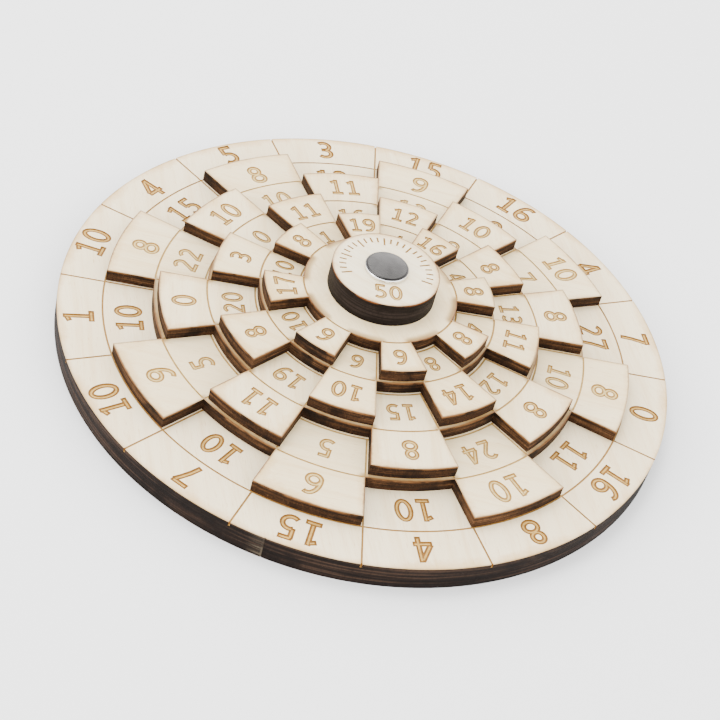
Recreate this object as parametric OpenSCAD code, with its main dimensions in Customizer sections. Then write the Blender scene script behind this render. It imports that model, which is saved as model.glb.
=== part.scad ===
// Number-ring combination puzzle: a round base and four stacked dials that
// turn on one pivot. Every dial has tabs with gaps between them, so that it
// covers half of the numbers in the row beneath it. A column is solved when
// its five numbers add up to the number on the knob.
//
// The origin is the centre of the underside, +Z is up, and one of the lines
// between two columns lies along the X axis.

/* [Plywood] */
// Thickness of one sheet
sheet_t = 2.9; // [2.6:0.1:3.3]
// Free play under each dial
play = 0.1; // [0.05:0.05:0.2]

/* [Base] */
// Outer radius of the base
base_r = 70; // [65:0.5:80]
// Radius of the recess for the screw's head and washer
recess_r = 6; // [5.2:0.1:8]

/* [Dials] */
// Number of columns: half of them show a tab, and half show a gap
columns = 16; // [12:4:20]
// Inner radius of the base's own row, then of the tabs on dials 1, 2 and 3
row_r = [60.2, 49.3, 37.9, 26.7]; // [20:0.1:64]
// Inner radius of the tabs on dial 4
hub_r = 17.4; // [15:0.1:20]
// How far each dial's tabs stop short of the row outside them
tab_back = [0.2, 0.8, 0.7, 0.5]; // [0.1:0.1:1.5]
// How far each dial is turned away from the base's columns, in degrees
dial_turn = [-0.45, 0.05, 0.4, 1.3]; // [-3:0.05:3]

/* [Knob] */
// Radius of the knob
knob_r = 12.1; // [9:0.1:14]

/* [Pivot] */
// Radius of the barrel that the dials turn on
barrel_r = 2.5; // [2:0.1:3]
// Radial clearance between the barrel and every hole round it
run_gap = 0.08; // [0.03:0.01:0.1]
// Radius of the barrel's domed head
head_r = 5.0; // [4:0.1:6]
// Height of the head's straight edge
head_edge = 0.5; // [0.3:0.1:0.8]
// Rise of the dome above that edge
head_rise = 0.75; // [0.4:0.05:1.2]
// Outer radius of the screw's thread
screw_r = 1.5; // [1.2:0.1:1.7]
// Depth of thread that the screw and the barrel share
thread_depth = 0.25; // [0.1:0.05:0.3]
// Radius of the screw's head
screw_head_r = 4.3; // [3.5:0.1:5]
// Thickness of the screw's head
screw_head_t = 1.2; // [0.8:0.1:1.4]
// Thickness of the washer
washer_t = 0.8; // [0.5:0.1:1]

/* [Hidden] */
DIALS = 4;
step = 360 / columns;
pitch = sheet_t + play;
base_t = 2 * sheet_t;
knob_z = base_t + DIALS * pitch;
knob_t = 2 * sheet_t;
head_z = knob_z + knob_t + play;
hole_r = barrel_r + run_gap;
thread_z = sheet_t + 12;
screw_end_z = sheet_t + 9;
slot_w = 1.1;
slot_t = 0.6;
cut = 1;
fine = 96;

function root_r(n) = n < DIALS ? row_r[n] : hub_r;
function tip_r(n) = row_r[n - 1] - tab_back[n - 1];

// A flat disc with a round hole, its underside at height z
module disc(r, hole, z, t) {
    translate([0, 0, z])
        difference() {
            cylinder(r = r, h = t, $fn = fine);
            translate([0, 0, -cut]) cylinder(r = hole, h = t + 2 * cut, $fn = fine);
        }
}

// Wedges over every second column, starting with column number first
module wedges(r, first, t) {
    reach = 1.2 * r;
    for (i = [0 : columns / 2 - 1])
        rotate(180 - (first + 2 * i) * step)
            linear_extrude(t)
                polygon([[0, 0], [reach, 0], [reach * cos(step), -reach * sin(step)]]);
}

// Dial n: a disc with tabs. The tabs on dials 1 and 3 cover the even columns
// at rest, and those on dials 2 and 4 the odd ones.
module dial(n) {
    translate([0, 0, base_t + play + (n - 1) * pitch])
        rotate(dial_turn[n - 1])
            difference() {
                union() {
                    cylinder(r = root_r(n), h = sheet_t, $fn = fine);
                    intersection() {
                        cylinder(r = tip_r(n), h = sheet_t, $fn = fine);
                        wedges(tip_r(n), (n - 1) % 2, sheet_t);
                    }
                }
                translate([0, 0, -cut]) cylinder(r = hole_r, h = sheet_t + 2 * cut, $fn = fine);
            }
}

module dial_1() color("Wheat") dial(1);
module dial_2() color("BlanchedAlmond") dial(2);
module dial_3() color("Wheat") dial(3);
module dial_4() color("BlanchedAlmond") dial(4);

// Lower layer of the base, with the recess that keeps the screw off the table
module base_backing_disc() color("Tan") disc(base_r, recess_r, 0, sheet_t);

// Upper layer of the base, which carries the outer row of numbers and row 1
module base_number_disc() color("AntiqueWhite") disc(base_r, hole_r, sheet_t, sheet_t);

module knob_lower_disc() color("SaddleBrown") disc(knob_r, hole_r, knob_z, sheet_t);

module knob_upper_disc() color("BlanchedAlmond") disc(knob_r, hole_r, knob_z + sheet_t, sheet_t);

// Hollow barrel with a domed head, threaded from its lower end
module pivot_barrel() color("Silver") {
    dome_r = (head_r * head_r + head_rise * head_rise) / (2 * head_rise);
    translate([0, 0, head_z]) {
        cylinder(r = head_r, h = head_edge, $fn = fine);
        intersection() {
            translate([0, 0, head_edge + head_rise - dome_r]) sphere(r = dome_r, $fn = fine);
            translate([0, 0, head_edge]) cylinder(r = head_r, h = head_rise, $fn = fine);
        }
    }
    difference() {
        translate([0, 0, sheet_t]) cylinder(r = barrel_r, h = head_z - sheet_t, $fn = fine);
        translate([0, 0, sheet_t - cut])
            cylinder(r = screw_r - thread_depth, h = thread_z - sheet_t + cut, $fn = fine);
    }
}

// Slotted screw that closes the pivot from below
module pivot_screw() color("Gray") {
    head_top = sheet_t - washer_t;
    difference() {
        translate([0, 0, head_top - screw_head_t])
            cylinder(r = screw_head_r, h = screw_head_t, $fn = fine);
        translate([-screw_head_r - cut, -slot_w / 2, head_top - screw_head_t - cut])
            cube([2 * (screw_head_r + cut), slot_w, slot_t + cut]);
    }
    translate([0, 0, head_top]) cylinder(r = screw_r, h = screw_end_z - head_top, $fn = fine);
}

// Washer between the screw's head and the base
module pivot_washer() color("DarkGray") disc(screw_head_r + 0.4, screw_r + 0.1, sheet_t - washer_t, washer_t);

base_backing_disc();
base_number_disc();
dial_1();
dial_2();
dial_3();
dial_4();
knob_lower_disc();
knob_upper_disc();
pivot_barrel();
pivot_screw();
pivot_washer();
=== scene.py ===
"""Looks of a number-ring combination puzzle in laser-cut birch plywood.

The plywood discs are rebuilt as meshes with engraved numbers and lines, charred
edges and visible plies. All lengths in this file are in millimetres until a mesh
is made. Columns count clockwise seen from above, and column 0 starts on the -X axis.
"""
import math
import random

import bpy
import numpy as np
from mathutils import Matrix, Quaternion, Vector
from mathutils.geometry import delaunay_2d_cdt


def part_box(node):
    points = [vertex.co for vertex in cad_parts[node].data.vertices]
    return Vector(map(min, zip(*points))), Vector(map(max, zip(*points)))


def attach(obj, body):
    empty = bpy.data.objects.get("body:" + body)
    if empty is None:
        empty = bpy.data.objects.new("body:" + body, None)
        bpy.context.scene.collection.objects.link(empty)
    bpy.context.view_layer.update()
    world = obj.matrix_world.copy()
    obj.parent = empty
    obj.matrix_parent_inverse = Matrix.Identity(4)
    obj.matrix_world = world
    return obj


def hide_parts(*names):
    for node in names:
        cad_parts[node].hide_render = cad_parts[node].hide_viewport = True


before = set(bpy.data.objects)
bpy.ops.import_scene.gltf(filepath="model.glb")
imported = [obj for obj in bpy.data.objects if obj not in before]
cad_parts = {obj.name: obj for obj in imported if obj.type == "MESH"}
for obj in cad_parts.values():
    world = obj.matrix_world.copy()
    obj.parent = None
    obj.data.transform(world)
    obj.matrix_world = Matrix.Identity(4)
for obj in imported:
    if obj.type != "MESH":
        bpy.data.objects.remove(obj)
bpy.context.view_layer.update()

MM = 0.001
COLUMNS = 16
STEP = 2 * math.pi / COLUMNS
DIALS = 4
TARGET = 50


# ---------------------------------------------------------------- sizes

def span(node):
    """Lowest and highest corner of a CAD node, in millimetres."""
    low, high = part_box(node)
    return low / MM, high / MM


BASE_R = span("base_number_disc")[1].x
KNOB_R = span("knob_upper_disc")[1].x
SHEET = span("dial_1")[1].z - span("dial_1")[0].z
ROW_R = (60.2, 49.3, 37.9, 26.7, 17.4)    # inner radius of each row, from the base's row inwards
TAB_BACK = (0.2, 0.8, 0.7, 0.5)           # how far each dial's tabs stop short of the row outside
DIAL_TURN = (-0.45, 0.05, 0.4, 1.3)       # degrees away from the base's columns
HOLE_R = 2.58             # hole for the pivot's barrel
RECESS_R = 6.0            # recess in the base's lower layer

LINE_W = 0.42             # width of an engraved line
LINE_DEPTH = 0.16
STROKE_DEPTH = 0.2        # depth of the two edges of a numeral's stroke
FILL_DEPTH = 0.11         # depth between them
NOTCH_DEPTH = 0.9         # where a line runs out over the base's edge
NOTCH_LENGTH = 0.4
NICK_HALF_W = 0.22        # nick in a disc's edge, where the laser started
NICK_DEPTH = 0.16
ARC_STEP = math.radians(1.5)
HALO = (0.35, 1.1, 2.4)   # insets at which the mesh follows the scorched halo
SAME = 1e-6               # two heights or radii closer than this are one
MERGE = 1e-5              # two points closer than this are one
BATCH = 2000              # points measured at a time, to save memory


# ---------------------------------------------------------------- numbers

# Numbers of each row, by column. None marks a number that a tab covers and
# that follows from the solution.
BASE_ROW = [10, 4, 5, 3, 15, 16, 4, 7, 0, 16, 8, 4, 15, 7, 10, 1]
UNDER = [
    [None, 15, None, 12, None, 8, None, 27, None, 11, None, 10, None, 10, None, 10],
    [22, 9, 10, 6, 13, 14, 7, 4, 10, 18, 24, 7, 5, 11, 5, 3],
    [None, 0, None, 16, None, 9, None, 13, None, 12, None, 15, None, 19, None, 20],
    [10, 5, 1, 14, 4, 9, 4, 12, 4, 3, 8, 15, 6, 2, 10, 7],
]
TABS = [
    [8, 8, 9, 10, 8, 10, 6, 9],
    [10, 11, 10, 8, 8, 8, 11, 0],
    [3, 11, 12, 8, 11, 14, 10, 8],
    [8, 19, 16, 8, 8, 6, 6, 17],
]
SOLVED_STEPS = (7, 5, 10, 0)   # clockwise steps from rest that solve the puzzle


def first_tab(dial):
    """First column under a tab: dials 1 and 3 start at 0, dials 2 and 4 at 1."""
    return (dial - 1) % 2


def fill_covered_numbers():
    """Works out the covered numbers, so that every column adds up when it is solved."""
    for column in range(COLUMNS):
        total = BASE_ROW[column]
        gap = None
        for dial in range(1, DIALS + 1):
            place = (column - SOLVED_STEPS[dial - 1]) % COLUMNS
            if place % 2 == first_tab(dial):
                total += TABS[dial - 1][place // 2]
                continue
            below = 0 if dial == 1 else SOLVED_STEPS[dial - 2]
            place = (column - below) % COLUMNS
            number = UNDER[dial - 1][place]
            if number is None:
                gap = (dial - 1, place)
            else:
                total += number
        UNDER[gap[0]][gap[1]] = TARGET - total


fill_covered_numbers()


# ---------------------------------------------------------------- numerals

GLYPH_W = 0.64        # width of a numeral, as a part of its height
ADVANCE = 0.74        # from one numeral to the next
STROKE = 0.19         # width of a stroke
STROKE_EDGE = 0.064   # width of the darker line along each side of a stroke


def bow(cx, cy, rx, ry, start, end, count=14):
    """Points along part of an ellipse, from start to end degrees."""
    angles = np.radians(np.linspace(start, end, count))
    return [(cx + rx * math.cos(a), cy + ry * math.sin(a)) for a in angles]


def oval(cx, cy, rx, ry):
    """A closed ellipse, marked by its last point being its first."""
    points = bow(cx, cy, rx, ry, 0, 360, 25)
    points[-1] = points[0]
    return points


def half_turn(strokes):
    return [[(GLYPH_W - x, 1 - y) for x, y in stroke] for stroke in strokes]


SIX = [oval(0.325, 0.295, 0.235, 0.218), bow(0.43, 0.34, 0.342, 0.585, 66, 184)]

GLYPHS = {
    "0": [oval(0.32, 0.5, 0.235, 0.422)],
    "1": [[(0.10, 0.79), (0.35, 0.90)], [(0.345, 1.0), (0.345, 0.10)], [(0.09, 0.077), (0.60, 0.077)]],
    "2": [bow(0.285, 0.70, 0.215, 0.222, 152, -22) + [(0.11, 0.10)], [(0.05, 0.077), (0.575, 0.077)]],
    "3": [bow(0.27, 0.712, 0.225, 0.21, 140, -90), bow(0.265, 0.29, 0.245, 0.213, 90, -142),
          [(0.16, 0.502), (0.30, 0.502)]],
    "4": [[(0.435, 0.95), (0.07, 0.31)], [(0.02, 0.285), (0.635, 0.285)], [(0.455, 0), (0.455, 1)]],
    "5": [[(0.10, 0.923), (0.55, 0.923)], [(0.165, 0.96), (0.165, 0.52)],
          bow(0.27, 0.325, 0.26, 0.248, 118, -138)],
    "6": SIX,
    "7": [[(0.04, 0.923), (0.61, 0.923)], [(0.55, 0.92), (0.43, 0.66), (0.32, 0.38), (0.22, 0)]],
    "8": [oval(0.32, 0.722, 0.195, 0.2), oval(0.32, 0.283, 0.238, 0.208)],
    "9": half_turn(SIX),
}


def ribbon(points, half):
    """Closed loops round a stroke at a distance half from its middle: two for a ring."""
    p = np.array(points)
    ring = points[0] == points[-1]
    if ring:
        p = p[:-1]
        along = np.roll(p, -1, 0) - np.roll(p, 1, 0)
    else:
        along = np.gradient(p, axis=0)
        if len(p) > 2:
            unit = np.diff(p, axis=0)
            unit /= np.linalg.norm(unit, axis=1)[:, None]
            along[1:-1] = unit[1:] + unit[:-1]
    along /= np.linalg.norm(along, axis=1)[:, None]
    side = np.stack([-along[:, 1], along[:, 0]], 1) * half
    if ring:
        return [p + side, p - side]
    return [np.concatenate([p + side, (p - side)[::-1]])]


def trimmed(points, amount):
    """An open stroke, shortened by amount at both ends."""
    if points[0] == points[-1]:
        return points
    p = [np.array(q) for q in points]
    first = (p[1] - p[0]) / np.linalg.norm(p[1] - p[0])
    last = (p[-2] - p[-1]) / np.linalg.norm(p[-2] - p[-1])
    p[0] = p[0] + first * amount
    p[-1] = p[-1] + last * amount
    return [tuple(q) for q in p]


def numeral_regions(text, height, centre_r, azimuth, inward=False):
    """Engraved regions of a number whose middle is at a radius and an azimuth.

    Its top points outwards, or towards the pivot if inward is true.
    """
    width = (len(text) - 1) * ADVANCE + GLYPH_W
    up = Vector((math.cos(azimuth), math.sin(azimuth)))
    middle = up * centre_r
    if inward:
        up = -up
    right = Vector((up.y, -up.x))
    regions = []
    for i, letter in enumerate(text):
        left = i * ADVANCE - width / 2
        for stroke in GLYPHS[letter]:
            outer = ribbon(stroke, STROKE / 2)
            inner = ribbon(trimmed(stroke, STROKE_EDGE), STROKE / 2 - STROKE_EDGE)
            for kind, loops in (("stroke", outer), ("fill", inner)):
                placed = []
                for loop in loops:
                    x = (loop[:, 0] + left) * height
                    y = (loop[:, 1] - 0.5) * height
                    placed.append(np.stack([middle.x + x * right.x + y * up.x,
                                            middle.y + x * right.y + y * up.y], 1))
                regions.append((kind, placed))
    return regions


# ---------------------------------------------------------------- outlines

def arc(radius, start, end):
    """Points along an arc about the origin, ends included."""
    count = max(2, math.ceil(abs(end - start) / ARC_STEP) + 1)
    return [(radius * math.cos(a), radius * math.sin(a)) for a in np.linspace(start, end, count)]


def circle(radius):
    return arc(radius, 0, 2 * math.pi)[:-1]


def disc_outline(radius, seam=None):
    """An outline that can be inset. seam is the azimuth of the nick where the laser started."""
    def outline(inset):
        if seam is None or inset > 0:
            return np.array(circle(radius - inset))
        half = NICK_HALF_W / radius
        points = arc(radius, seam + half, seam + 2 * math.pi - half)
        bottom_r = radius - NICK_DEPTH
        points.append((bottom_r * math.cos(seam), bottom_r * math.sin(seam)))
        return np.array(points)
    return outline


def column_edge(column, turn):
    """Azimuth of the line where a column starts."""
    return math.pi - column * STEP + turn


def dial_outline(root, tip, first, turn):
    """Outline of a disc of radius root, with tabs that reach the radius tip."""
    def outline(inset):
        points = []
        for i in range(COLUMNS // 2):
            start = column_edge(first + 2 * i + 1, turn)
            end = column_edge(first + 2 * i, turn)
            at_tip = math.asin(inset / (tip - inset))
            at_root = math.asin(inset / (root - inset))
            points += arc(tip - inset, end - at_tip, start + at_tip)
            points += arc(root - inset, start + at_root, start - STEP - at_root)
        return np.array(points)
    return outline


def bar(radius_a, radius_b, azimuth, width):
    """A straight radial bar between two radii."""
    out = np.array([math.cos(azimuth), math.sin(azimuth)])
    side = np.array([-out[1], out[0]]) * width / 2
    near, far = out * radius_a, out * radius_b
    return np.array([near - side, far - side, far + side, near + side])


def radial_line(radius_a, radius_b, azimuth, kind="line"):
    return (kind, [bar(radius_a, radius_b, azimuth, LINE_W)])


def ring_line(radius):
    return ("line", [np.array(circle(radius + LINE_W / 2)), np.array(circle(radius - LINE_W / 2))])


def arc_line(radius, start, end):
    outer = arc(radius + LINE_W / 2, start, end)
    inner = arc(radius - LINE_W / 2, end, start)
    return ("line", [np.array(outer + inner)])


# ---------------------------------------------------------------- mesh of one disc

DEPTHS = {"face": 0.0, "line": LINE_DEPTH, "stroke": STROKE_DEPTH, "fill": FILL_DEPTH, "notch": NOTCH_DEPTH}
FACE, WALL, LINE, SCORCH, GOLD = range(5)
FLOOR_MATERIAL = {"face": FACE, "line": LINE, "stroke": SCORCH, "fill": GOLD, "notch": GOLD}
KINDS = ("face", "line", "notch", "stroke", "fill")   # a later kind wins where regions overlap
SHARP = math.radians(25)      # a steeper edge than this is shaded sharp


def inside(loop, points):
    """Which points lie inside a closed loop, by counting crossings."""
    x, y = points[:, 0][:, None], points[:, 1][:, None]
    x0, y0 = loop[:, 0], loop[:, 1]
    x1, y1 = np.roll(x0, -1), np.roll(y0, -1)
    crosses = (y0 > y) != (y1 > y)
    with np.errstate(divide="ignore", invalid="ignore"):
        at = x0 + (y - y0) * (x1 - x0) / (y1 - y0)
    return (crosses & (x < at)).sum(1) % 2 == 1


def inside_region(loops, points):
    """Which points lie inside an odd number of the loops."""
    answer = np.zeros(len(points), bool)
    everything = np.concatenate(loops)
    low, high = everything.min(0), everything.max(0)
    near = np.nonzero(((points >= low) & (points <= high)).all(1))[0]
    if len(near):
        odd = np.zeros(len(near), bool)
        for loop in loops:
            odd ^= inside(loop, points[near])
        answer[near] = odd
    return answer


def triangulate(loops, keep_points=None, keep_edges=None):
    """Triangles over the plane that follow every loop. Kept points come first."""
    points = [] if keep_points is None else [tuple(p) for p in keep_points]
    edges = [] if keep_edges is None else [tuple(e) for e in keep_edges]
    for loop in loops:
        first = len(points)
        points += [tuple(p) for p in loop]
        edges += [(first + i, first + (i + 1) % len(loop)) for i in range(len(loop))]
    found, _, faces, *_ = delaunay_2d_cdt([Vector(p) for p in points], edges, [], 0, MERGE)
    places = np.array([(v.x, v.y) for v in found])
    triangles = np.array(faces)
    a, b, c = (places[triangles[:, i]] for i in range(3))
    flipped = (b[:, 0] - a[:, 0]) * (c[:, 1] - a[:, 1]) - (b[:, 1] - a[:, 1]) * (c[:, 0] - a[:, 0]) < 0
    triangles[flipped] = triangles[flipped][:, ::-1]
    return places, triangles


def edge_distance(points, loops):
    """Distance from each point to the nearest of the loops."""
    best = np.full(len(points), np.inf)
    for loop in loops:
        start, end = loop, np.roll(loop, -1, 0)
        along = end - start
        length = (along ** 2).sum(1)
        for i in range(0, len(points), BATCH):
            p = points[i:i + BATCH][:, None]
            t = np.clip(((p - start) * along).sum(2) / length, 0, 1)
            gap = np.linalg.norm(p - start - t[..., None] * along, axis=2).min(1)
            best[i:i + BATCH] = np.minimum(best[i:i + BATCH], gap)
    return best


def plate(name, node, body, outline, hole_r, regions, materials):
    """Makes one plywood disc with engraved regions in its top face, in the CAD node's place."""
    low, high = span(node)
    hole = np.array(circle(hole_r))
    border = [outline(0), hole]
    insets = [outline(d) for d in HALO]
    marks = [loop for _, loops in regions for loop in loops]

    places, triangles = triangulate(border + insets + marks)
    centres = places[triangles].mean(1)
    kept = inside(border[0], centres) & ~inside(hole, centres)
    triangles, centres = triangles[kept], centres[kept]
    kind = np.zeros(len(triangles), int)
    for name_of_kind in KINDS[1:]:
        for region_kind, loops in regions:
            if region_kind == name_of_kind:
                kind[inside_region(loops, centres)] = KINDS.index(name_of_kind)
    depth = np.array([DEPTHS[k] for k in KINDS])[kind]

    sides = {}
    for t, tri in enumerate(triangles):
        for i in range(3):
            sides.setdefault((tri[i], tri[(i + 1) % 3]), t)
    rim = [edge for edge in sides if (edge[1], edge[0]) not in sides]
    rim_points = sorted({v for edge in rim for v in edge})
    order = {v: i for i, v in enumerate(rim_points)}
    under_places, under_triangles = triangulate(
        insets, places[rim_points], [(order[a], order[b]) for a, b in rim])
    under_centres = under_places[under_triangles].mean(1)
    kept = inside(border[0], under_centres) & ~inside(hole, under_centres)
    under_triangles = under_triangles[kept]

    thickness = high.z - low.z
    points, index, levels = [], {}, {}

    def vertex(v, d):
        """The vertex at place v and depth d, made when it is first asked for."""
        key = (v, round(d, 4))
        if key not in index:
            index[key] = len(points)
            points.append((places[v][0], places[v][1], high.z - d))
            levels.setdefault(v, set()).add(key[1])
        return index[key]

    faces, slots = [], []
    for t, tri in enumerate(triangles):
        faces.append([vertex(v, depth[t]) for v in tri])
        slots.append(FLOOR_MATERIAL[KINDS[kind[t]]])
    under_index = {}
    for i, (x, y) in enumerate(under_places):
        if i < len(rim_points):
            under_index[i] = vertex(rim_points[i], thickness)
        else:
            under_index[i] = len(points)
            points.append((x, y, low.z))
    for tri in under_triangles:
        faces.append([under_index[i] for i in tri[::-1]])
        slots.append(FACE)

    def column(v, top, bottom):
        """Vertices at one place from depth top down to depth bottom."""
        between = sorted(d for d in levels[v] if top - SAME <= d <= bottom + SAME)
        return [index[(v, d)] for d in between]

    for (a, b), t in sides.items():
        other = sides.get((b, a))
        if other is None:
            faces.append(column(a, depth[t], thickness) + column(b, depth[t], thickness)[::-1])
            slots.append(WALL)
        elif depth[other] > depth[t] + SAME:
            faces.append(column(a, depth[t], depth[other]) + column(b, depth[t], depth[other])[::-1])
            slots.append(SCORCH)

    mesh = bpy.data.meshes.new(name)
    mesh.from_pydata([(x * MM, y * MM, z * MM) for x, y, z in points], [], faces)
    for material in materials:
        mesh.materials.append(material)
    mesh.polygons.foreach_set("material_index", slots)
    mesh.polygons.foreach_set("use_smooth", [True] * len(faces))
    mesh.update()
    mesh.set_sharp_from_angle(angle=SHARP)
    distance = edge_distance(np.array(points)[:, :2], border)
    attribute = mesh.attributes.new("edge_mm", "FLOAT", "POINT")
    attribute.data.foreach_set("value", distance.astype(np.float32))
    mesh.validate()
    piece = bpy.data.objects.new(name, mesh)
    bpy.context.scene.collection.objects.link(piece)
    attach(piece, body)
    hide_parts(node)


# ---------------------------------------------------------------- materials

def blend_of(a, b, amount):
    return tuple(x + (y - x) * amount for x, y in zip(a, b))


class Nodes:
    """A short way to build a node tree."""

    def __init__(self, name):
        self.material = bpy.data.materials.new(name)
        self.material.use_nodes = True
        self.tree = self.material.node_tree
        self.shader = self.tree.nodes["Principled BSDF"]
        self.place = self.new("ShaderNodeTexCoord").outputs["Object"]

    def new(self, kind):
        return self.tree.nodes.new(kind)

    def put(self, socket, value):
        if isinstance(value, bpy.types.NodeSocket):
            self.tree.links.new(value, socket)
        else:
            socket.default_value = value

    def math(self, operation, *values, clamp=False):
        node = self.new("ShaderNodeMath")
        node.operation = operation
        node.use_clamp = clamp
        for socket, value in zip(node.inputs, values):
            self.put(socket, value)
        return node.outputs[0]

    def mapped(self, scale, turn=0.0, shift=(0, 0, 0)):
        """Object coordinates in millimetres, turned about Z and then scaled."""
        turned = self.new("ShaderNodeVectorRotate")
        turned.rotation_type = "Z_AXIS"
        self.put(turned.inputs["Vector"], self.place)
        turned.inputs["Angle"].default_value = turn
        node = self.new("ShaderNodeMapping")
        self.put(node.inputs["Vector"], turned.outputs[0])
        node.inputs["Scale"].default_value = [s / MM for s in scale]
        node.inputs["Location"].default_value = shift
        return node.outputs[0]

    def noise(self, vector, detail=3.0, roughness=0.55):
        node = self.new("ShaderNodeTexNoise")
        self.put(node.inputs["Vector"], vector)
        node.inputs["Scale"].default_value = 1.0
        node.inputs["Detail"].default_value = detail
        node.inputs["Roughness"].default_value = roughness
        return node.outputs["Fac"]

    def ramp(self, value, low, high):
        """A smooth step: 0 at low and 1 at high, whichever of them is the larger."""
        node = self.new("ShaderNodeMapRange")
        node.interpolation_type = "SMOOTHSTEP"
        self.put(node.inputs["Value"], value)
        node.inputs["From Min"].default_value = low
        node.inputs["From Max"].default_value = high
        return node.outputs["Result"]

    def mix(self, amount, a, b):
        """Colour a where amount is 0 and b where it is 1. Inputs 6 and 7 are the node's colours."""
        node = self.new("ShaderNodeMix")
        node.data_type = "RGBA"
        self.put(node.inputs[0], amount)
        self.put(node.inputs[6], (*a, 1) if isinstance(a, tuple) else a)
        self.put(node.inputs[7], (*b, 1) if isinstance(b, tuple) else b)
        return node.outputs[2]

    def bump(self, height, strength, distance_mm):
        node = self.new("ShaderNodeBump")
        node.inputs["Strength"].default_value = strength
        node.inputs["Distance"].default_value = distance_mm * MM
        self.put(node.inputs["Height"], height)
        self.tree.links.new(node.outputs[0], self.shader.inputs["Normal"])


SMOKE = (0.66, 0.42, 0.16)          # soft brown halo along a cut
ROOT_SCORCH_AND_SHADE = (0.29, 0.165, 0.048)   # darker strip along the roots of the tabs: painted shade where the strip lies between two walls, with some scorch
BURN = (0.14, 0.05, 0.014)          # thin burnt line at the very edge
SOOT = (0.0035, 0.0020, 0.0014)     # blackest parts of a cut wall
MARK = (0.12, 0.095, 0.065)         # bare wood beside the laser's starting point


def birch(name, grain, seed, tone, root, char):
    """Raw birch face: pale, with fine fibres along the grain and a scorched edge.

    tone is its mean colour, and char how dark its very edge is. Inside the radius
    root a darker strip runs along the edge: painted shade where it lies between
    two walls, with some scorch. root is 0 where no face needs that.
    """
    n = Nodes(name)
    shift = (seed * 3.1, seed * 1.7, seed)
    broad = n.noise(n.mapped((0.014, 0.07, 0.05), grain, shift), 2)
    bands = n.noise(n.mapped((0.025, 0.5, 0.2), grain, shift), 3)
    fibres = n.noise(n.mapped((0.12, 2.6, 1.0), grain, shift), 4, 0.65)
    pores = n.noise(n.mapped((0.4, 4.5, 1.0), grain, shift), 2, 0.5)
    light = tuple(min(1.0, c * f) for c, f in zip(tone, (1.05, 1.07, 1.12)))
    dark = tuple(c * f for c, f in zip(tone, (0.88, 0.80, 0.66)))
    fleck = tuple(c * f for c, f in zip(tone, (0.74, 0.60, 0.42)))
    colour = n.mix(n.ramp(broad, 0.34, 0.66), light, tone)
    colour = n.mix(n.math("MULTIPLY", n.ramp(bands, 0.44, 0.72), 0.5), colour, dark)
    colour = n.mix(n.math("MULTIPLY", n.ramp(fibres, 0.5, 0.74), 0.55), colour, dark)
    colour = n.mix(n.math("MULTIPLY", n.ramp(pores, 0.63, 0.74), 0.55), colour, fleck)

    edge = n.new("ShaderNodeAttribute")
    edge.attribute_name = "edge_mm"
    away = edge.outputs["Fac"]
    ragged = n.noise(n.mapped((0.9, 0.9, 0.9), 0, shift), 4, 0.7)
    patchy = n.ramp(n.noise(n.mapped((0.09, 0.09, 0.09), 0, shift), 2), 0.36, 0.64)
    longer = n.math("MULTIPLY_ADD", patchy, 1.0, 0.8)
    reach = n.math("MULTIPLY", n.math("MULTIPLY_ADD", ragged, 2.2, 0.4), longer)
    smoke = n.math("SUBTRACT", 1.0, n.math("DIVIDE", away, reach, clamp=True), clamp=True)
    smoke = n.math("MULTIPLY", smoke, n.math("MULTIPLY_ADD", patchy, 0.4, 0.45))
    colour = n.mix(smoke, colour, SMOKE)
    if root:
        # painted shade with some scorch: a darker strip along the edges inside the root radius, in the
        # narrow gaps between walls
        length = n.new("ShaderNodeVectorMath")
        length.operation = "LENGTH"
        n.put(length.inputs[0], n.mapped((MM, MM, 0)))
        within = n.math("LESS_THAN", length.outputs["Value"], root * MM)
        strip = n.math("SUBTRACT", 1.0, n.ramp(away, 0.5, 1.9))
        strip = n.math("MULTIPLY", strip, within)
        strip = n.math("MULTIPLY", strip, n.math("MULTIPLY_ADD", patchy, 0.3, 0.6))
        colour = n.mix(strip, colour, ROOT_SCORCH_AND_SHADE)
    burn_width = n.math("MULTIPLY_ADD", ragged, 0.8, 0.06)
    burn = n.math("SUBTRACT", 1.0, n.math("DIVIDE", away, burn_width, clamp=True), clamp=True)
    strength = n.math("MULTIPLY_ADD", patchy, 0.35 * char, 0.75 * char)
    burn = n.math("MULTIPLY", burn, strength, clamp=True)
    colour = n.mix(burn, colour, BURN)

    n.put(n.shader.inputs["Base Color"], colour)
    n.put(n.shader.inputs["Roughness"], n.math("MULTIPLY_ADD", fibres, 0.2, 0.5))
    n.shader.inputs["Specular IOR Level"].default_value = 0.3
    n.bump(n.math("ADD", fibres, n.math("MULTIPLY", pores, 0.5)), 0.5, 0.06)
    return n.material


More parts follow.
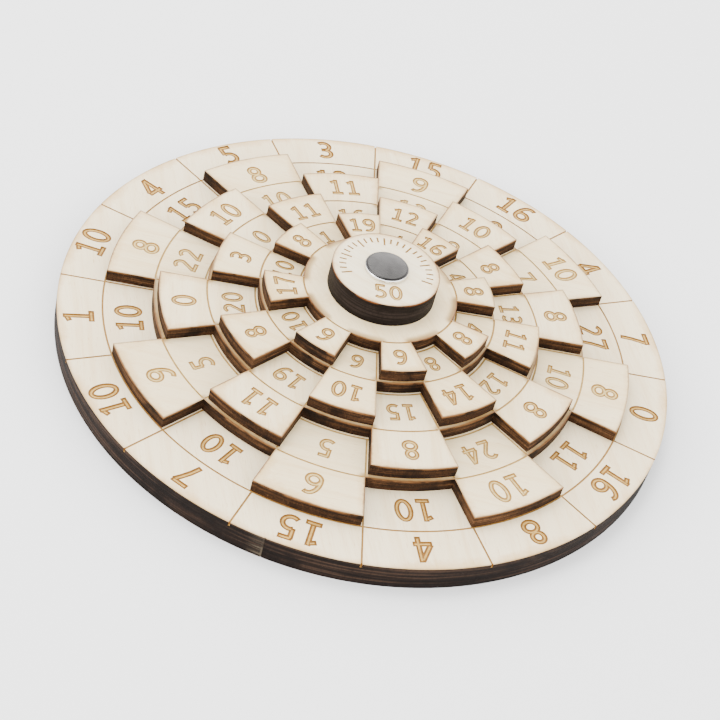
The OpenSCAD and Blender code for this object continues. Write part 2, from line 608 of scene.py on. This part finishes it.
def charred(name, low_z, seed, soot, crest, seam):
    """Laser-cut wall of one sheet: three plies in dark streaks, with browner patches.

    soot is 0 for a brown wall and about 1 for one that is nearly black. crest is how
    strong its scorched top edge is, and seam how strong the laser's starting mark is.
    """
    n = Nodes(name)
    shift = (seed, seed * 2.3, seed * 0.7)
    parts = n.new("ShaderNodeSeparateXYZ")
    n.put(parts.inputs[0], n.place)
    wander = n.noise(n.mapped((0.12, 0.12, 0.5), 0, shift), 3)
    height = n.math("MULTIPLY_ADD", parts.outputs["Z"], 1 / (SHEET * MM), -low_z / SHEET)
    height = n.math("MULTIPLY_ADD", n.math("SUBTRACT", wander, 0.5), 0.08, height)
    middle = n.math("ABSOLUTE", n.math("SUBTRACT", height, 0.5))
    core = n.math("SUBTRACT", 1.0, n.ramp(middle, 0.12, 0.2))
    from_glue = n.math("ABSOLUTE", n.math("SUBTRACT", middle, 0.165))
    glue = n.math("SUBTRACT", 1.0, n.ramp(from_glue, 0.0, 0.04))
    streaks = n.noise(n.mapped((0.07, 0.07, 4.2), 0, shift), 5, 0.8)
    cuts = n.noise(n.mapped((4.5, 4.5, 0.6), 0, shift), 3, 0.7)
    specks = n.noise(n.mapped((3.0, 3.0, 5.0), 0, shift), 2)
    patches = n.noise(n.mapped((0.07, 0.07, 0.3), 0, shift), 3)

    brown = blend_of((0.040, 0.017, 0.0068), (0.0105, 0.0056, 0.0036), soot)
    tan = blend_of((0.155, 0.073, 0.031), (0.034, 0.019, 0.012), soot)
    scorched = blend_of((0.23, 0.105, 0.038), (0.16, 0.055, 0.016), soot)
    colour = n.mix(n.ramp(streaks, 0.4, 0.66), SOOT, brown)
    colour = n.mix(n.math("MULTIPLY", core, n.ramp(streaks, 0.34, 0.7)), colour, brown)
    warm = n.math("MULTIPLY", n.ramp(patches, 0.44, 0.66), n.ramp(streaks, 0.4, 0.66))
    warm = n.math("MULTIPLY", warm, n.math("MULTIPLY_ADD", core, 0.5, 0.4))
    colour = n.mix(warm, colour, tan)
    colour = n.mix(n.math("MULTIPLY", glue, 0.4), colour, SOOT)
    bands = n.noise(n.mapped((0.025, 0.025, 1.5), 0, shift), 3, 0.6)
    banding = min(soot, 1.0)
    colour = n.mix(n.math("MULTIPLY", n.ramp(bands, 0.52, 0.6), 0.85 * banding), colour, tan)
    colour = n.mix(n.math("MULTIPLY", n.ramp(bands, 0.46, 0.38), 0.8 * banding), colour, SOOT)
    colour = n.mix(n.math("MULTIPLY", n.ramp(cuts, 0.48, 0.7), 0.55), colour, SOOT)
    colour = n.mix(n.math("MULTIPLY", n.ramp(specks, 0.6, 0.74), 0.5 - 0.25 * soot), colour, tan)
    burnt = n.noise(n.mapped((0.16, 0.16, 0.2), 0, shift), 3)
    colour = n.mix(n.math("MULTIPLY", n.ramp(burnt, 0.5, 0.66), 0.75), colour, SOOT)
    top = n.math("MULTIPLY", n.ramp(height, 0.80, 0.98), n.ramp(burnt, 0.62, 0.44))
    colour = n.mix(n.math("MULTIPLY", top, crest), colour, scorched)
    if seam:
        colour = n.mix(n.math("MULTIPLY", beside_seam(n, streaks), seam), colour, MARK)
    n.put(n.shader.inputs["Base Color"], colour)
    n.shader.inputs["Roughness"].default_value = 0.7
    n.shader.inputs["Specular IOR Level"].default_value = 0.07
    n.bump(n.math("ADD", streaks, n.math("MULTIPLY", cuts, 0.6)), 0.7, 0.14)
    return n.material


def beside_seam(n, streaks):
    """A thin bright line just clockwise of the nick on the rim, and a paler patch beyond it."""
    def along(direction):
        node = n.new("ShaderNodeVectorMath")
        node.operation = "DOT_PRODUCT"
        n.put(node.inputs[0], n.place)
        node.inputs[1].default_value = direction
        return node.outputs["Value"]
    round_rim = along((math.sin(SEAM), -math.cos(SEAM), 0))
    line = n.math("SUBTRACT", 1.0, n.ramp(round_rim, 0.15 * MM, 0.5 * MM))
    patch = n.math("SUBTRACT", 1.0, n.ramp(round_rim, 0.3 * MM, 4.2 * MM))
    patch = n.math("MULTIPLY", patch, n.ramp(streaks, 0.42, 0.6))
    amount = n.math("MAXIMUM", n.math("MULTIPLY", line, 0.5), n.math("MULTIPLY", patch, 0.6))
    same_side = n.math("GREATER_THAN", along((math.cos(SEAM), math.sin(SEAM), 0)), 0.0)
    clockwise = n.math("GREATER_THAN", round_rim, 0.0)
    return n.math("MULTIPLY", amount, n.math("MULTIPLY", same_side, clockwise))


def engraved(name, colour, deep, seed):
    """Laser-engraved birch, unevenly browned."""
    n = Nodes(name)
    shift = (seed * 2.0, seed, seed)
    uneven = n.noise(n.mapped((0.9, 0.9, 0.9), 0, shift), 4, 0.65)
    fibres = n.noise(n.mapped((0.2, 4.0, 1.0), 0.1, shift), 3, 0.6)
    tint = n.math("ADD", n.math("MULTIPLY", uneven, 0.65), n.math("MULTIPLY", fibres, 0.35))
    n.put(n.shader.inputs["Base Color"], n.mix(n.ramp(tint, 0.34, 0.64), deep, colour))
    n.shader.inputs["Roughness"].default_value = 0.65
    n.shader.inputs["Specular IOR Level"].default_value = 0.2
    n.bump(uneven, 0.5, 0.06)
    return n.material


FINE_SCRATCHES = (0.4, 6.0, 1.0), 0.05     # scale and strength
COARSE_SCRATCHES = (3.0, 0.4, 1.0), 0.15


def metal(name, colour, roughness, scratches):
    """Plated metal with fine wear."""
    scratch_scale, scratch_strength = scratches
    n = Nodes(name)
    wear = n.noise(n.mapped(scratch_scale, 0.4), 4, 0.6)
    marks = n.noise(n.mapped((0.5, 0.5, 0.5)), 3)
    dull = tuple(c * 0.82 for c in colour)
    n.put(n.shader.inputs["Base Color"], n.mix(n.ramp(marks, 0.35, 0.7), colour, dull))
    n.put(n.shader.inputs["Roughness"], n.math("MULTIPLY_ADD", wear, 0.12, roughness))
    n.shader.inputs["Metallic"].default_value = 1.0
    n.bump(wear, scratch_strength, 0.02)
    return n.material


# ---------------------------------------------------------------- the plywood pieces

SEAM = math.radians(-106.1)        # where the laser started on the base's rim
KNOB_FRONT = math.radians(-86.2)   # azimuth of the number on the knob
KNOB_SEAM = KNOB_FRONT + 2.2       # where the laser started on the knob's edge

NUMERAL_H = (6.7, 6.1, 5.4, 4.8, 4.3)   # height of the numerals in each row
TAB_NUMERAL_H = (6.2, 5.5, 4.9, 4.6)    # and on the tabs of each dial
KNOB_NUMERAL_H = 4.6
KNOB_NUMERAL_R = 7.7                    # radius of the middle of the knob's number
NUMERAL_SHIFT = (-0.2, -0.4, 0.1, 0.1, 0.1)   # how far each row's numbers lie outside its middle
BASE_NUDGES = {0: 0.9, 2: 1.1, 3: 0.7, 4: 1.0, 5: 0.6, 14: 0.4, 15: 0.4}   # columns set further out
DIAL_1_NUDGES = {0: -0.9, 2: -0.8, 4: -0.8, 14: -1.0}                       # and further in

LINE_OUTSIDE = 0.5     # from the edge of the next dial's disc out to the line round it
LINE_SHORT = 0.35      # how far short of an edge a line stops
LINE_UNDER = 1.5       # how far the base's lines run on under dial 1
OVERRUN = 1            # how far the notches are cut past the base's edge

TICKS = 25
TICK_SPREAD = math.radians(214)   # from the first tick to the last
TICK_TIP_R = 10.6
TICK_ROOT_R = 9.0
LONG_TICK_ROOT_R = 8.1
LONG_TICK_EVERY = 4

CREAM = (0.90, 0.74, 0.475)
KNOB_TONE = (0.87, 0.745, 0.51)
DIAL_TONES = ((0.985, 0.965, 0.89), (0.985, 0.97, 0.91), (0.96, 0.93, 0.83), (0.96, 0.93, 0.83))
DIAL_GRAIN = (5, 84, 21, 66)              # direction of each dial's grain, in degrees
DIAL_PALENESS = (0.72, 0.4, 0.25, 0.25)   # how faint each dial's engraving is
DEEPER = 0.66                             # tone of the dark parts of an engraving

random.seed(16)


def jitter():
    """A small offset in millimetres, as hand-set artwork has."""
    return random.uniform(-0.12, 0.12)


def cell_azimuth(column, turn):
    return column_edge(column + 0.5, turn)


def row_of_numbers(numbers, columns, height, centre_r, turn, nudges=None):
    """Engraved numbers at one radius. nudges moves some columns' numbers out by millimetres."""
    regions = []
    for number, column in zip(numbers, columns):
        radius = centre_r + jitter() + (nudges or {}).get(column, 0)
        regions += numeral_regions(str(number), height, radius, cell_azimuth(column, turn))
    return regions


def inner_row(row, turn):
    """Lines and numbers of the row that the next dial covers half of."""
    outer_r, inner_r = ROW_R[row - 1], ROW_R[row]
    line_r = inner_r + LINE_OUTSIDE
    regions = [ring_line(line_r)]
    for column in range(COLUMNS):
        regions.append(radial_line(line_r, outer_r - LINE_SHORT, column_edge(column, turn)))
    middle = (outer_r + inner_r) / 2 + NUMERAL_SHIFT[row]
    return regions + row_of_numbers(UNDER[row - 1], range(COLUMNS), NUMERAL_H[row], middle, turn)


def base_top():
    """Engraving of the base: its own row of numbers, and the row that dial 1 half covers."""
    regions = [ring_line(ROW_R[0] - 0.1)]
    for column in range(COLUMNS):
        azimuth = column_edge(column, 0)
        regions.append(radial_line(ROW_R[1] - LINE_UNDER, BASE_R - NOTCH_LENGTH, azimuth))
        regions.append(radial_line(BASE_R - NOTCH_LENGTH, BASE_R + OVERRUN, azimuth, "notch"))
    middle = (BASE_R + ROW_R[0]) / 2 + NUMERAL_SHIFT[0]
    regions += row_of_numbers(BASE_ROW, range(COLUMNS), NUMERAL_H[0], middle, 0, BASE_NUDGES)
    middle = (ROW_R[0] + ROW_R[1]) / 2 + NUMERAL_SHIFT[1]
    return regions + row_of_numbers(UNDER[0], range(COLUMNS), NUMERAL_H[1], middle, 0)


def dial_top(dial):
    """Engraving of one dial: a tab row, and inside it the row that the next dial half covers."""
    turn = math.radians(DIAL_TURN[dial - 1])
    root, tip = ROW_R[dial], ROW_R[dial - 1] - TAB_BACK[dial - 1]
    tabs = range(first_tab(dial), COLUMNS, 2)
    height, middle = TAB_NUMERAL_H[dial - 1], (root + tip) / 2
    nudges = DIAL_1_NUDGES if dial == 1 else None
    regions = row_of_numbers(TABS[dial - 1], tabs, height, middle, turn, nudges)
    margin = LINE_SHORT / root
    for column in tabs:
        start, end = column_edge(column + 1, turn), column_edge(column, turn)
        regions.append(arc_line(root, start + margin, end - margin))
    if dial < DIALS:
        regions += inner_row(dial + 1, turn)
    return regions


def knob_top():
    """The target number, and a scale of ticks round the rest of the knob."""
    regions = numeral_regions(str(TARGET), KNOB_NUMERAL_H, KNOB_NUMERAL_R, KNOB_FRONT, inward=True)
    for i in range(TICKS):
        azimuth = KNOB_FRONT + math.pi + TICK_SPREAD * (i / (TICKS - 1) - 0.5)
        inner = LONG_TICK_ROOT_R if i % LONG_TICK_EVERY == 0 else TICK_ROOT_R
        regions.append(radial_line(inner, TICK_TIP_R, azimuth, "stroke"))
    return regions


def engraving(name, pale, seed):
    """Materials of the lines, the strokes' edges and the fill between them.

    pale is 0 for a deep engraving and 1 for a faint one.
    """
    line = blend_of((0.42, 0.225, 0.055), (0.60, 0.39, 0.125), pale)
    edge = blend_of((0.27, 0.118, 0.020), (0.50, 0.29, 0.07), pale)
    fill = blend_of((0.58, 0.34, 0.085), (0.77, 0.57, 0.235), pale)
    return [engraved(f"{kind}_{name}", colour, tuple(c * DEEPER for c in colour), seed + i)
            for i, (kind, colour) in enumerate((("line", line), ("stroke", edge), ("fill", fill)))]


def finish(name, node, grain, seed, tone, pale, soot=0.0, crest=0.7, seam=0.0, root=0.0, char=1.0):
    """The five materials of one plywood piece, in the order of the slots. grain is in degrees."""
    return [birch("birch_" + name, math.radians(grain), seed, tone, root, char),
            charred("charred_" + name, span(node)[0].z, seed, soot, crest, seam),
            *engraving(name, pale, seed)]


def plywood_pieces():
    for layer, node, hole_r, regions, grain, seed, seam in (
            ("lower", "base_backing_disc", RECESS_R, [], 12, 1, 1.0),
            ("upper", "base_number_disc", HOLE_R, base_top(), 78, 2, 0.35)):
        plate(f"base_{layer}_layer", node, "base", disc_outline(BASE_R, SEAM), hole_r, regions,
              finish(f"base_{layer}", node, grain, seed, CREAM, 0.0, 1.0, 0.0, seam, char=0.5))
    for dial in range(1, DIALS + 1):
        node = f"dial_{dial}"
        tip = ROW_R[dial - 1] - TAB_BACK[dial - 1]
        outline = dial_outline(ROW_R[dial], tip, first_tab(dial), math.radians(DIAL_TURN[dial - 1]))
        tone = tuple(c * b for c, b in zip(CREAM, DIAL_TONES[dial - 1]))
        grain, pale = DIAL_GRAIN[dial - 1], DIAL_PALENESS[dial - 1]
        plate(f"dial_{dial}_engraved", node, f"ring_{dial}", outline, HOLE_R, dial_top(dial),
              finish(node, node, grain, 10 + dial, tone, pale, root=ROW_R[dial]))
    for layer, regions, seed, crest in (("lower", [], 20, 0.0), ("upper", knob_top(), 53, 1.0)):
        node = f"knob_{layer}_disc"
        plate(f"knob_{layer}_layer", node, "ring_4", disc_outline(KNOB_R, KNOB_SEAM), HOLE_R, regions,
              finish(f"knob_{layer}", node, 30, seed, KNOB_TONE, 0.6, 1.15, crest))


# ---------------------------------------------------------------- the pivot

SEGMENTS = 96         # round the barrel
BARREL_R = 2.5
BORE_R = 1.25
BORE_DEPTH = 12.0
BORE_TIP = 0.7        # height of the cone at the end of the bore
HEAD_T = 1.25         # height of the domed head
DOME_RISE = 0.30
EDGE_R = 0.62         # rounding of the head's edge
CURVE_STEPS = 8       # in the dome, and again in the rounding
ROUNDING_STEP = 11    # degrees from one step of the rounding to the next
KEEP_INSIDE = 0.97    # narrows the rounding, so that it stays within the head's radius
HEAD_BEVEL = 0.06     # under the head's rim
END_BEVEL = 0.2       # round the barrel's lower end
BORE_BEVEL = 0.15     # round the mouth of the bore
HEAD_SHARP = math.radians(40)
DARK_REFLECTION_STEPS = 5        # steps of the rounding that carry the painted dark reflection
DOME, EDGE, RIM = range(3)


def turned(name, profile, materials, slot_of):
    """A solid of revolution about Z, from a closed profile of (radius, height) points.

    slot_of gives the material slot of the band that starts at each profile point.
    """
    points, faces, slots, rings = [], [], [], []
    angles = [2 * math.pi * i / SEGMENTS for i in range(SEGMENTS)]
    for radius, z in profile:
        if radius < SAME:
            rings.append([len(points)] * SEGMENTS)
            points.append((0, 0, z))
            continue
        rings.append(list(range(len(points), len(points) + SEGMENTS)))
        points += [(radius * math.cos(a), radius * math.sin(a), z) for a in angles]
    for band, (ring, following) in enumerate(zip(rings, rings[1:] + rings[:1])):
        for i in range(SEGMENTS):
            j = (i + 1) % SEGMENTS
            corners = [ring[i], ring[j], following[j], following[i]]
            corners = [c for k, c in enumerate(corners) if c != corners[k - 1]]
            if len(corners) > 2:
                faces.append(corners)
                slots.append(slot_of(band))
    mesh = bpy.data.meshes.new(name)
    mesh.from_pydata([tuple(c * MM for c in p) for p in points], [], faces)
    for material in materials:
        mesh.materials.append(material)
    mesh.polygons.foreach_set("material_index", slots)
    mesh.polygons.foreach_set("use_smooth", [True] * len(faces))
    mesh.update()
    mesh.set_sharp_from_angle(angle=HEAD_SHARP)
    piece = bpy.data.objects.new(name, mesh)
    bpy.context.scene.collection.objects.link(piece)
    return piece


def barrel_profile():
    """Domed head with a rounded edge on a hollow barrel, from the top of the axis round to its bore."""
    low, high = span("pivot_barrel")
    head_r, top, end = high.x, high.z, low.z
    head_z = top - HEAD_T
    dome_edge = head_r - EDGE_R
    steps = range(1, CURVE_STEPS + 1)
    profile = [(0, top)]
    profile += [(dome_edge * i / CURVE_STEPS, top - DOME_RISE * (i / CURVE_STEPS) ** 2) for i in steps]
    for i in steps:
        a = math.radians(90 - ROUNDING_STEP * i)
        profile.append((dome_edge + EDGE_R * math.cos(a) * KEEP_INSIDE,
                        top - DOME_RISE - EDGE_R + EDGE_R * math.sin(a)))
    profile += [(head_r, head_z + 0.16), (head_r, head_z + 0.04), (head_r - HEAD_BEVEL, head_z)]
    profile += [(BARREL_R, head_z), (BARREL_R, end + END_BEVEL), (BARREL_R - END_BEVEL, end)]
    profile += [(BORE_R + BORE_BEVEL, end), (BORE_R, end + BORE_BEVEL)]
    profile += [(BORE_R, end + BORE_DEPTH), (0, end + BORE_DEPTH + BORE_TIP)]
    return profile


def cap_slot(band):
    """The dome's slot, then that of the dark upper part of the rounding, then that of all the rest."""
    # painted reflection: the three slots hold copies of one chrome, dim on the dome, dark on the upper
    # rounding and bright below
    if band < CURVE_STEPS:
        return DOME
    return EDGE if band < CURVE_STEPS + DARK_REFLECTION_STEPS else RIM


def pivot_pieces():
    # One chrome in three copies. Their base colours paint the reflection: a dim dome, a dark band at the
    # top of the rounding and a bright rim.
    chrome = [metal("chrome_painted_dim_reflection", (0.102, 0.098, 0.095), 0.22, FINE_SCRATCHES),
              metal("chrome_painted_dark_reflection", (0.045, 0.043, 0.042), 0.16, FINE_SCRATCHES),
              metal("chrome_painted_bright_reflection", (0.78, 0.78, 0.77), 0.12, FINE_SCRATCHES)]
    zinc = metal("zinc_plate", (0.52, 0.53, 0.55), 0.3, COARSE_SCRATCHES)
    barrel = turned("pivot_cap_and_barrel", barrel_profile(), chrome, cap_slot)
    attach(barrel, "base")
    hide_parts("pivot_barrel")
    for node in ("pivot_screw", "pivot_washer"):
        for material_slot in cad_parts[node].material_slots:
            material_slot.material = zinc


# ---------------------------------------------------------------- camera, floor and light

CAMERA_AT = Vector((-48.99, -295.48, 263.74)) * MM
AIM_AT = Vector((-1.88, -11.13, 5.8)) * MM
CAMERA_ROLL = math.radians(16.15)
LENS = 87.35
HORIZON_LIGHT = 7.2
ZENITH_LIGHT = 0.8
FLOOR_HALF = 3.0      # half the floor's side, in metres


def area_light(name, place, size, power):
    """A round lamp that points at the origin. place and size are in metres."""
    light = bpy.data.lights.new(name, "AREA")
    light.shape = "DISK"
    light.size = size
    light.energy = power
    lamp = bpy.data.objects.new(name, light)
    lamp.location = place
    lamp.rotation_mode = "QUATERNION"
    lamp.rotation_quaternion = (-Vector(place)).to_track_quat("-Z", "Y")
    bpy.context.scene.collection.objects.link(lamp)


def studio():
    camera = bpy.data.objects.new("camera", bpy.data.cameras.new("camera"))
    camera.data.lens = LENS
    camera.data.sensor_width = 36
    camera.data.clip_start = 0.01
    camera.location = CAMERA_AT
    camera.rotation_mode = "QUATERNION"
    facing = (AIM_AT - CAMERA_AT).to_track_quat("-Z", "Y")
    camera.rotation_quaternion = facing @ Quaternion((0, 0, 1), CAMERA_ROLL)
    bpy.context.scene.collection.objects.link(camera)
    bpy.context.scene.camera = camera

    world = bpy.data.worlds.new("studio")
    bpy.context.scene.world = world
    world.use_nodes = True
    background = world.node_tree.nodes["Background"]
    tree = world.node_tree
    direction = tree.nodes.new("ShaderNodeSeparateXYZ")
    tree.links.new(tree.nodes.new("ShaderNodeTexCoord").outputs["Generated"], direction.inputs[0])
    fade = tree.nodes.new("ShaderNodeMapRange")
    tree.links.new(direction.outputs["Z"], fade.inputs["Value"])
    fade.inputs["To Min"].default_value = HORIZON_LIGHT
    fade.inputs["To Max"].default_value = ZENITH_LIGHT
    background.inputs["Color"].default_value = (1, 1, 1, 1)
    tree.links.new(fade.outputs["Result"], background.inputs["Strength"])
    area_light("key", (-0.22, 0.3, 0.9), 0.5, 7.0)
    area_light("side", (-0.9, -0.35, 0.35), 0.4, 6.0)

    floor = bpy.data.meshes.new("floor")
    corners = [(x * FLOOR_HALF, y * FLOOR_HALF, 0) for x, y in ((-1, -1), (1, -1), (1, 1), (-1, 1))]
    floor.from_pydata(corners, [], [(0, 1, 2, 3)])
    n = Nodes("floor")
    n.shader.inputs["Base Color"].default_value = (0.93, 0.93, 0.93, 1)
    n.shader.inputs["Roughness"].default_value = 0.7
    floor.materials.append(n.material)
    ground = bpy.data.objects.new("floor", floor)
    bpy.context.scene.collection.objects.link(ground)


plywood_pieces()
pivot_pieces()
studio()

bpy.context.view_layer.update()
